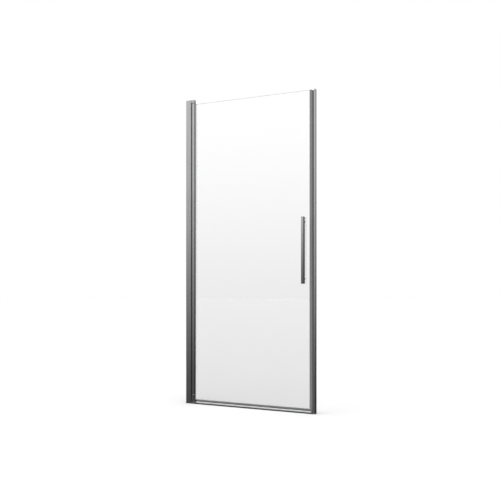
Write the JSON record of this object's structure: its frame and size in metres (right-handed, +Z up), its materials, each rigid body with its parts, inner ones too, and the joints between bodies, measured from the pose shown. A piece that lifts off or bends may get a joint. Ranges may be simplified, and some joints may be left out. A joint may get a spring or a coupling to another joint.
{
  "type": "pivot shower door",
  "caption": "Framed pivot shower door: a glass leaf with a bar handle turns outwards on pins between a hinge post and a strike profile over a low sill.",
  "frame": {"origin": "middle of the sill's underside, on the shower tray, below the middle of the glass", "axes": "+X from the hinge wall to the strike wall, -Y to the side the leaf opens to, +Z up"},
  "size_m": [0.891, 0.0544, 1.95],
  "materials": {
    "profile_metal": "anodised dark gunmetal, satin",
    "cap_plastic": "moulded, fine matt grain",
    "strip_plastic": "extruded flexible plastic, matt dark grey",
    "magnet": "magnet bar",
    "steel": "stainless, turned",
    "bearing_plastic": "natural bearing plastic",
    "clear_seal": "clear flexible seal",
    "gasket_rubber": "black rubber",
    "glass": "clear toughened safety glass"
  },
  "bodies": {
    "hinge_wall_profile": {"hinge_wall_channel": "profile_metal"},
    "frame": {"strike_wall_angle": "profile_metal", "hinge_post": "profile_metal", "top_pivot_block": "profile_metal", "bottom_pivot_block": "profile_metal", "strike_profile": "profile_metal", "sill": "profile_metal", "strike_profile_cap": "cap_plastic", "sill_end_hinge": "cap_plastic", "sill_end_strike": "cap_plastic", "fixed_strip": "strip_plastic", "fixed_magnet": "magnet", "bottom_pivot_pin": "steel", "top_pivot_pin": "steel", "top_block_screws": "steel", "bottom_block_screws": "steel", "hinge_fixing_screws": "steel", "hinge_fixing_washers": "steel", "strike_fixing_screws": "steel", "strike_fixing_washers": "steel", "thrust_washer": "bearing_plastic", "hinge_lip_seal": "gasket_rubber"},
    "door_leaf": {"pivot_stile": "profile_metal", "stile_cap_bottom": "cap_plastic", "stile_cap_top": "cap_plastic", "stile_cap_screws": "steel", "bottom_pivot_bush": "bearing_plastic", "top_pivot_bush": "bearing_plastic", "glass_panel": "glass", "glazing_gasket": "gasket_rubber", "rail_gasket": "gasket_rubber", "bottom_rail": "profile_metal", "rail_cap_hinge": "cap_plastic", "rail_cap_strike": "cap_plastic", "bottom_seal": "clear_seal", "door_strip": "strip_plastic", "door_magnet": "magnet", "handle_grip": "profile_metal", "handle_cap_bottom": "cap_plastic", "handle_cap_top": "cap_plastic", "handle_pad": "gasket_rubber", "handle_sleeves": "clear_seal", "inner_disc_pads": "gasket_rubber", "inner_discs": "profile_metal", "handle_screws": "steel"}
  },
  "joints": [
    {"name": "hinge_side_adjust", "type": "slide", "parent": "hinge_wall_profile", "child": "frame", "axis": [1, 0, 0], "range_m": [-0.005, 0.008]},
    {"name": "door_swing", "type": "hinge", "parent": "frame", "child": "door_leaf", "pos_m": [-0.3935, -0.014, 0.0585], "axis": [0, 0, -1], "range_deg": [0, 90]}
  ]
}
